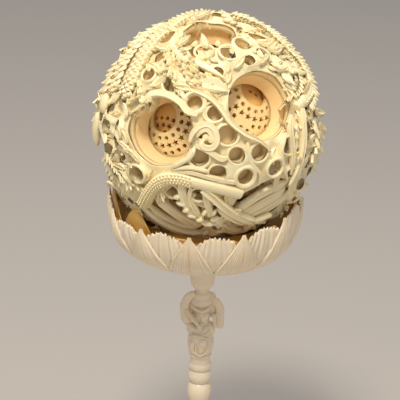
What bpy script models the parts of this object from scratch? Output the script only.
"""Carved ivory puzzle ball, four nested balls, resting in a petal cup on a turned stand."""

import math

import bmesh
import bpy
from mathutils import Matrix, Vector

# Driving dimensions, in metres and degrees
BALL_RADIUS = 0.050
BALL_HEIGHT = 0.222
BALL_OFFSET = 0.0005
GAP = 0.0003
LOWERED = 0.00025

GROUND_RADIUS = 0.0468
OUTER_CAVITY = 0.0443
SECOND_RADIUS = 0.0430
SECOND_CAVITY = 0.0362
THIRD_RADIUS = 0.0350
THIRD_CAVITY = 0.0332
FOURTH_RADIUS = 0.0322
FOURTH_CAVITY = 0.0300

OUTER_HOLE_ANGLE = 18.8
SECOND_BORE_ANGLE = 18.2
INNER_HOLE_ANGLE = 10.8
SMALL_HOLE_ANGLE = 4.5

CUP_RADIUS = 0.0430
CUP_DEPTH = 0.0260
CUP_RIM = BALL_HEIGHT - 0.0360
CUP_WALL = 0.0030
CUP_BOSS = 0.0046
SEAT_RADIUS = 0.0235
PETALS = 22
PETAL_NOTCH = 0.0046
TALL_PETAL = 0.0034
FLUTE = 0.0007

# Directions on the ball: longitude from the front to the right, latitude upwards
HOLE_RIGHT = (32, 28)
HOLE_LEFT = (-27, 13.5)
OTHER_HOLES = [(-5, 77), (-24, -39), (36, -31)]
THIRD_HOLES = [(-36, 21), (45, 40)]
FOURTH_TILT = 51
SMALL_HOLES = [
    (-9, 32), (3, 24), (10, 14), (15, 3), (26, 4),
    (19, -8), (36, -4), (5, -2), (-4, 4), (47, 4),
]
RINGED_HOLES = [(-9, 32), (19, -8)]

# Bodies and ribbons of the relief, as the points they pass through
SCALY_BODY = [(-58, -40), (-46, -26), (-31, -12), (-20, -7), (-6, -8), (8, -12), (19, -16)]
RIDGED_BODY = [(-130, 66), (-86, 56), (-74, 42), (-69, 28), (-68, 12), (-80, -6)]
CRESTED_BODY = [(128, 64), (104, 48), (88, 34), (66, 18), (57, 0), (54, -14), (70, -30)]
LONG_RIBBON = [(-56, 52), (-31, 48), (-12, 42), (1, 33), (12, 25), (22, 14), (34, 7)]
SHORT_RIBBON = [(-46, 30), (-34, 33), (-22, 29), (-10, 22.5), (-5, 12)]
LOWER_LEG = [(-2, -20), (6, -23), (14, -31), (28, -41), (40, -46)]

LEAF_SITES = 110
LEAF_LENGTH = 0.0086
LEAF_RISE = 0.0024
WEB_SITES = 120
GOLDEN_ANGLE = 180 * (3 - math.sqrt(5))


def start():
    for obj in list(bpy.data.objects):
        bpy.data.objects.remove(obj)
    parts = bpy.data.collections.new("Puzzle ball on stand")
    bpy.context.scene.collection.children.link(parts)
    return parts


def helper_collection(name):
    helpers = bpy.data.collections.new(name)
    bpy.context.scene.collection.children.link(helpers)
    return helpers


def direction(longitude, latitude):
    """Unit vector of a place on the ball, whose front faces -Y."""
    turn = math.radians(longitude)
    rise = math.radians(latitude)
    return Vector((math.sin(turn) * math.cos(rise), -math.cos(turn) * math.cos(rise), math.sin(rise)))


def cube_directions(axis, across):
    """The 14 directions of a cube's faces and corners: axis is a face, across halves the other two."""
    side = axis.cross(across)
    second = (across + side).normalized()
    third = (across - side).normalized()
    faces = [sign * edge for edge in (axis, second, third) for sign in (1, -1)]
    corners = [
        (a * axis + b * second + c * third).normalized()
        for a in (1, -1)
        for b in (1, -1)
        for c in (1, -1)
    ]
    return faces + corners


def outer_holes():
    """Holes of the two outer balls: the regular pattern, with the carver's own drift where it is seen."""
    face = direction(*HOLE_RIGHT)
    corner = direction(*HOLE_LEFT)
    across = (corner - corner.dot(face) * face).normalized()
    seen = [direction(*place) for place in [HOLE_LEFT, *OTHER_HOLES]]
    holes = []
    for regular in cube_directions(face, across):
        nearest = max(seen, key=regular.dot)
        holes.append(nearest if regular.dot(nearest) > 0.97 else regular)
    return holes


def third_holes():
    first, second = (direction(*place) for place in THIRD_HOLES)
    return cube_directions((first - second).normalized(), (first + second).normalized())


def fourth_holes():
    tilt = Matrix.Rotation(math.radians(FOURTH_TILT), 3, "X")
    return [tilt @ hole for hole in cube_directions(Vector((1, 0, 0)), Vector((0, 1, 1)).normalized())]


def material(name, colour, roughness):
    made = bpy.data.materials.new(name)
    made.use_nodes = True
    shader = made.node_tree.nodes["Principled BSDF"]
    shader.inputs["Base Color"].default_value = (*colour, 1)
    shader.inputs["Roughness"].default_value = roughness
    return made


def mesh_object(name, mesh, collection):
    mesh.name = name
    obj = bpy.data.objects.new(name, mesh)
    collection.objects.link(obj)
    return obj


def from_bmesh(name, shape, collection):
    bmesh.ops.recalc_face_normals(shape, faces=shape.faces)
    mesh = bpy.data.meshes.new(name)
    shape.to_mesh(mesh)
    shape.free()
    return mesh_object(name, mesh, collection)


def hide(obj):
    obj.hide_render = True
    obj.display_type = "WIRE"
    return obj


def smooth(obj, angle=35):
    obj.data.shade_smooth()
    obj.data.set_sharp_from_angle(angle=math.radians(angle))


def boolean(obj, operation, collection):
    modifier = obj.modifiers.new(operation.title(), "BOOLEAN")
    modifier.operation = operation
    modifier.operand_type = "COLLECTION"
    modifier.collection = collection
    modifier.solver = "EXACT"


def smooth_path(places, radius, steps):
    """Points of a curve through the places, held at one radius from the ball's centre."""
    stops = [direction(*place) for place in places]
    stops = [stops[0], *stops, stops[-1]]
    points = []
    for i in range(1, len(stops) - 2):
        before, start_stop, end_stop, after = stops[i - 1 : i + 3]
        for step in range(steps):
            t = step / steps
            point = 0.5 * (
                2 * start_stop
                + (end_stop - before) * t
                + (2 * before - 5 * start_stop + 4 * end_stop - after) * t**2
                + (3 * start_stop - before - 3 * end_stop + after) * t**3
            )
            points.append(point.normalized() * radius)
    points.append(stops[-1] * radius)
    return points


def tube(name, points, thickness, tips, centre, collection):
    """A closed round bar through the points, thinner at its ends by the factors in tips."""
    curve = bpy.data.curves.new(name, "CURVE")
    curve.dimensions = "3D"
    curve.bevel_depth = thickness
    curve.bevel_resolution = 1
    curve.use_fill_caps = True
    spline = curve.splines.new("POLY")
    spline.points.add(len(points) - 1)
    last = len(points) - 1
    for i, (stop, place) in enumerate(zip(spline.points, points)):
        along = i / last
        stop.co = (*place, 1)
        stop.radius = min(1, tips[0] + 4 * along, tips[1] + 4 * (1 - along))
    guide = bpy.data.objects.new(name + "_guide", curve)
    collection.objects.link(guide)
    guide.location = centre
    bpy.context.view_layer.update()
    mesh = bpy.data.meshes.new_from_object(guide.evaluated_get(bpy.context.evaluated_depsgraph_get()))
    placed = guide.matrix_world.copy()
    bpy.data.objects.remove(guide)
    shape = bmesh.new()
    shape.from_mesh(mesh)
    bmesh.ops.remove_doubles(shape, verts=shape.verts, dist=1e-5)
    obj = hide(from_bmesh(name, shape, collection))
    obj.matrix_world = placed
    return obj


def leaf(name, outward, turn, length, centre, collection):
    """A pointed leaf with a raised rib, lying on the ball."""
    shape = bmesh.new()
    bmesh.ops.create_cone(shape, cap_ends=True, segments=4, radius1=1, radius2=0, depth=1)
    for vert in shape.verts:
        vert.co = Vector((vert.co.x * length, vert.co.y * length * 0.55, vert.co.z * 2 * LEAF_RISE))
    obj = hide(from_bmesh(name, shape, collection))
    frame = outward.to_track_quat("Z", "Y").to_matrix().to_4x4()
    place = centre + outward * (BALL_RADIUS - LEAF_RISE - 0.0001)
    obj.matrix_world = Matrix.Translation(place) @ frame @ Matrix.Rotation(turn, 4, "Z")
    return obj


def clear_of(place, holes, angle):
    return all(place.dot(hole) < math.cos(math.radians(angle)) for hole in holes)


def spiral(count):
    """Directions spread evenly over the ball."""
    heights = [1 - 2 * (index + 0.5) / count for index in range(count)]
    return [
        direction(index * GOLDEN_ANGLE, math.degrees(math.asin(height)))
        for index, height in enumerate(heights)
    ]


def small_holes():
    """Drilled holes of the outer ball: those seen in front, and half of them again behind."""
    front = [direction(*place) for place in SMALL_HOLES]
    return front + [-hole for hole in front[: len(front) // 2]]


def outer_relief(centre, holes, relief):
    """Dragon bodies, ribbons, rings round the small holes and leaves, with the back carved in keeping."""
    # Name, places it passes, thickness, and how thin its two ends are
    bars = [
        ("scaly_body", SCALY_BODY, 0.0027, (0.5, 0.9)),
        ("ridged_body", RIDGED_BODY, 0.0028, (0.4, 0.8)),
        ("crested_body", CRESTED_BODY, 0.0028, (0.5, 0.5)),
        ("long_ribbon", LONG_RIBBON, 0.0018, (0.4, 0.3)),
        ("short_ribbon", SHORT_RIBBON, 0.0018, (0.4, 0.6)),
        ("lower_leg", LOWER_LEG, 0.0022, (0.9, 0.6)),
    ]
    for name, places, thickness, tips in bars:
        points = smooth_path(places, GROUND_RADIUS, 2)
        tube(name, points, thickness, tips, centre, relief)
    for name, places, thickness, tips in bars[:2]:
        behind = [(longitude + 180, -latitude) for longitude, latitude in places]
        points = smooth_path(behind, GROUND_RADIUS, 2)
        tube(name + "_behind", points, thickness, tips, centre, relief)
    for index, place in enumerate(RINGED_HOLES):
        outward = direction(*place)
        mesh_ring = ring_mesh(GROUND_RADIUS * math.tan(math.radians(SMALL_HOLE_ANGLE)) + 0.0009, 0.0011)
        ring = hide(mesh_object(f"ring_{index}", mesh_ring, relief))
        ring.rotation_euler = outward.to_track_quat("Z", "Y").to_euler()
        ring.location = centre + outward * (GROUND_RADIUS + 0.0003)
    small = small_holes()
    for index, outward in enumerate(spiral(LEAF_SITES)):
        if clear_of(outward, holes, OUTER_HOLE_ANGLE + 3) and clear_of(outward, small, 7):
            leaf(f"leaf_{index}", outward, index * 1.9, LEAF_LENGTH, centre, relief)


def ring_mesh(radius, thickness, around=9, sides=5):
    shape = bmesh.new()
    section = []
    for side in range(sides):
        angle = 2 * math.pi * side / sides
        point = Vector((radius + thickness * math.cos(angle), 0, thickness * math.sin(angle)))
        section.append(shape.verts.new(point))
    edges = [shape.edges.new((section[i], section[(i + 1) % sides])) for i in range(sides)]
    bmesh.ops.spin(
        shape,
        geom=section + edges,
        cent=(0, 0, 0),
        axis=(0, 0, 1),
        angle=2 * math.pi,
        steps=around,
        use_merge=True,
    )
    bmesh.ops.remove_doubles(shape, verts=shape.verts, dist=1e-6)
    bmesh.ops.recalc_face_normals(shape, faces=shape.faces)
    mesh = bpy.data.meshes.new("ring")
    shape.to_mesh(mesh)
    shape.free()
    return mesh


def pierced_ball(name, radius, cavity, holes, centre, parts):
    """A hollow ball pierced by cones that point at its centre: holes lists direction, angle and sides.

    The rims of the holes and a few places between them are wrapped in a hull, the hull's lids over the
    holes are taken off, and the surface left is extruded inwards to the cavity.
    """
    shape = bmesh.new()
    rims = {}
    for number, (hole, angle, sides) in enumerate(holes):
        aim = hole.to_track_quat("Z", "Y").to_matrix()
        for side in range(sides):
            turn = math.degrees(2 * math.pi * side / sides)
            vert = shape.verts.new(aim @ direction(turn, 90 - angle) * radius)
            rims[vert] = number
    widest = max(angle for _, angle, _ in holes)
    axes = [(hole, angle) for hole, angle, _ in holes]
    for place in spiral(WEB_SITES):
        if all(clear_of(place, [hole], angle + widest / 3) for hole, angle in axes):
            shape.verts.new(place * radius)
    bmesh.ops.convex_hull(shape, input=shape.verts, use_existing_faces=False)
    lids = []
    for face in shape.faces:
        owners = {rims.get(vert) for vert in face.verts}
        if len(owners) == 1 and None not in owners:
            lids.append(face)
    bmesh.ops.delete(shape, geom=lids, context="FACES")
    walls = bmesh.ops.extrude_face_region(shape, geom=shape.faces[:])
    inner = [item for item in walls["geom"] if isinstance(item, bmesh.types.BMVert)]
    bmesh.ops.scale(shape, verts=inner, vec=Vector((1, 1, 1)) * cavity / radius)
    ball = from_bmesh(name, shape, parts)
    ball.location = centre
    return ball


def outer_ball(parts, centre, holes):
    """The outer ball: a shell with large and small holes, and the relief carved on it."""
    pierced = [(hole, OUTER_HOLE_ANGLE, 12) for hole in holes]
    pierced += [(hole, SMALL_HOLE_ANGLE, 7) for hole in small_holes()]
    ball = pierced_ball("outer_ball", GROUND_RADIUS, OUTER_CAVITY, pierced, centre, parts)
    relief = helper_collection("Relief")
    outer_relief(centre, holes, relief)
    boolean(ball, "UNION", relief)
    return ball


def cup_profile():
    """Half section of the cup from the middle of its underside, round the rim, to the middle of the seat."""
    points = [(0, CUP_RIM - CUP_DEPTH)]
    rows = 5
    for row in range(rows, -1, -1):
        t = math.pi / 2 * row / rows
        reach = CUP_BOSS + (CUP_RADIUS - CUP_BOSS) * math.cos(t) ** 0.63
        points.append((reach, CUP_RIM - CUP_DEPTH * math.sin(t) ** 0.953))
    seat = BALL_RADIUS + 2 * GAP
    floor = BALL_HEIGHT - math.sqrt(seat**2 - SEAT_RADIUS**2)
    points += [
        (CUP_RADIUS - CUP_WALL * 0.6, CUP_RIM),
        (CUP_RADIUS - CUP_WALL, CUP_RIM - 0.005),
        (SEAT_RADIUS + 0.012, floor + 0.0008),
        (SEAT_RADIUS, floor),
        (SEAT_RADIUS * 0.5, BALL_HEIGHT - math.sqrt(seat**2 - SEAT_RADIUS**2 / 4)),
        (0, BALL_HEIGHT - seat),
    ]
    return points


def cup(parts):
    """A bowl whose rim is cut into pointed petals, every second one taller."""
    shape = bmesh.new()
    verts = [shape.verts.new((reach, 0, height)) for reach, height in cup_profile()]
    edges = [shape.edges.new(pair) for pair in zip(verts, verts[1:])]
    bmesh.ops.spin(
        shape,
        geom=verts + edges,
        cent=(0, 0, 0),
        axis=(0, 0, 1),
        angle=2 * math.pi,
        steps=2 * PETALS,
        use_merge=True,
    )
    bmesh.ops.remove_doubles(shape, verts=shape.verts, dist=1e-6)
    for vert in shape.verts:
        reach = math.hypot(vert.co.x, vert.co.y)
        if reach < CUP_RADIUS - CUP_WALL * 0.7 or vert.co.z < CUP_RIM - 0.002:
            continue
        step = round(math.atan2(vert.co.y, vert.co.x) / (math.pi / PETALS)) % (2 * PETALS)
        is_notch = step % 2
        is_tall = step % 4 == 0
        vert.co.z += -PETAL_NOTCH if is_notch else TALL_PETAL * is_tall
        vert.co.xy *= 1 - is_notch * FLUTE / reach
    return from_bmesh("cup", shape, parts)


def turned(name, profile, steps, collection):
    """A solid of revolution from a half section that runs down the outside."""
    mesh = bpy.data.meshes.new(name)
    points = [(reach, 0, height) for reach, height in profile]
    mesh.from_pydata(points, [(i, i + 1) for i in range(len(points) - 1)], [])
    obj = mesh_object(name, mesh, collection)
    screw = obj.modifiers.new("Screw", "SCREW")
    screw.steps = steps
    screw.render_steps = steps
    screw.use_merge_vertices = True
    screw.merge_threshold = 0.00002
    screw.use_smooth_shade = True
    return obj


def below_ball(section):
    """Half section given in millimetres: radius, and height below the ball's centre."""
    return [(reach / 1000, BALL_HEIGHT - depth / 1000) for reach, depth in section]


STEM_SECTION = [
    # Drum under the cup, and its neck
    (0, 62.3), (5.3, 62.3), (5.4, 73.0), (4.4, 76.2), (2.9, 77.4), (2.9, 78.8),
    # Domed cap and its brim
    (4.3, 79.9), (5.6, 82.4), (5.3, 84.8), (5.7, 86.3), (4.9, 88.3),
    # Head, chest, skirt and hem
    (4.4, 91.0), (4.9, 97.0), (6.0, 99.5), (6.3, 105.5), (5.7, 109.5), (4.9, 111.8), (4.8, 114.5),
    # Ring, bead and vase
    (5.3, 116.8), (4.7, 119.2), (5.4, 122.0), (4.3, 125.2), (5.6, 128.6), (4.8, 132.8),
    (2.7, 138.5), (4.2, 141.2), (2.9, 143.8), (5.3, 151.0), (4.5, 164.0), (3.1, 180.0),
    (4.9, 183.0), (3.4, 185.6), (4.6, 188.7), (0, 188.7),
]

FOOT_SECTION = [
    (0, 189.0), (6.6, 189.0), (7.6, 191.0), (6.8, 193.2), (9.5, 196.0), (19.0, 199.6),
    (29.5, 205.2), (36.5, 212.0), (38.6, 216.0), (42.0, 217.4), (42.0, 222.0), (0, 222.0),
]

RAISED_ARM = [(-3.2, 0.6, 80.4), (-6.6, 0, 82.4), (-8.2, -0.8, 86.2), (-7.9, -1.8, 91.0), (-5.0, -2.6, 96.5)]
LOWER_ARM = [(-7.4, -2.6, 90.0), (-4.4, -4.6, 93.0), (-1.0, -5.0, 96.4)]
HANGING_SLEEVE = (6.9, -0.6, 91.3)
SLEEVE_SIZE = (2.2, 2.8, 6.6)


def stem(parts):
    """Turned post with a small robed figure carved round its upper half."""
    post = turned("stem", below_ball(STEM_SECTION), 12, parts)
    limbs = helper_collection("Figure")
    top = Vector((0, 0, BALL_HEIGHT))
    for name, places, thickness in (("raised_arm", RAISED_ARM, 2.1), ("lower_arm", LOWER_ARM, 1.4)):
        points = [Vector((x, y, -depth)) / 1000 for x, y, depth in places]
        tube(name, points, thickness / 1000, (0.9, 0.9), top, limbs)
    shape = bmesh.new()
    bmesh.ops.create_icosphere(shape, subdivisions=2, radius=1)
    bmesh.ops.scale(shape, verts=shape.verts, vec=Vector(SLEEVE_SIZE) / 1000)
    sleeve = hide(from_bmesh("hanging_sleeve", shape, limbs))
    x, y, depth = HANGING_SLEEVE
    sleeve.location = Vector((x, y, -depth)) / 1000 + top
    boolean(post, "UNION", limbs)
    return post


def foot(parts):
    return turned("foot", below_ball(FOOT_SECTION), 24, parts)


def build():
    parts = start()
    ivory = material("carved ivory", (0.78, 0.68, 0.50), 0.42)
    deep_ivory = material("inner ivory", (0.74, 0.55, 0.31), 0.45)
    centre = Vector((BALL_OFFSET, 0, BALL_HEIGHT))
    down = Vector((0, 0, -LOWERED))
    holes = outer_holes()
    bores = [(hole, SECOND_BORE_ANGLE, 12) for hole in holes]
    windows = [(hole, INNER_HOLE_ANGLE, 9) for hole in third_holes()]
    deepest = [(hole, INNER_HOLE_ANGLE, 7) for hole in fourth_holes()]
    outer = outer_ball(parts, centre, holes)
    second = pierced_ball("second_ball", SECOND_RADIUS, SECOND_CAVITY, bores, centre + down, parts)
    third = pierced_ball("third_ball", THIRD_RADIUS, THIRD_CAVITY, windows, centre + 2 * down, parts)
    fourth = pierced_ball("fourth_ball", FOURTH_RADIUS, FOURTH_CAVITY, deepest, centre + 3 * down, parts)
    stand = [cup(parts), stem(parts), foot(parts)]
    for obj in [outer, second, *stand]:
        obj.data.materials.append(ivory)
    for obj in (third, fourth):
        obj.data.materials.append(deep_ivory)
    for obj in [outer, second, third, fourth, *stand]:
        smooth(obj)


build()
